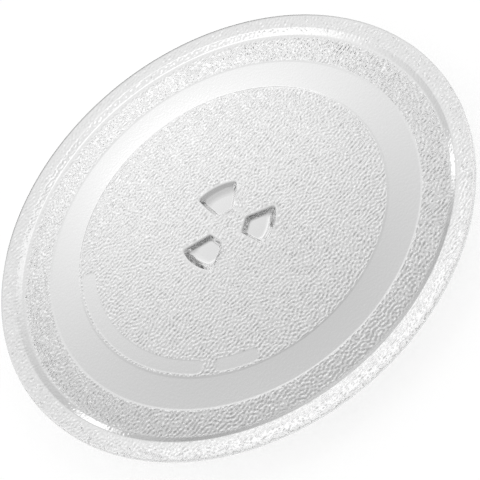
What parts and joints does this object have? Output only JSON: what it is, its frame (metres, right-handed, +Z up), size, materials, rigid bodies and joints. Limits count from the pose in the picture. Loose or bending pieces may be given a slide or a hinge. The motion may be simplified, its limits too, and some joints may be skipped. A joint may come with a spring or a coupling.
{
  "type": "microwave turntable plate",
  "caption": "Round clear pressed-glass plate with a raised lip, a smooth roller track and drive lugs underneath, stippled on its underside; it turns food in a microwave oven.",
  "frame": {"origin": "under the centre of the plate, at the level of the lugs' end faces, on which it rests", "axes": "+Z up through the dish, +Y from the centre along one of the drive lugs"},
  "size_m": [0.245, 0.245, 0.0112],
  "materials": {
    "clear_glass": "clear and polished on top, finely stippled underneath"
  },
  "bodies": {
    "root": {"glass_plate": "clear_glass"}
  },
  "joints": []
}
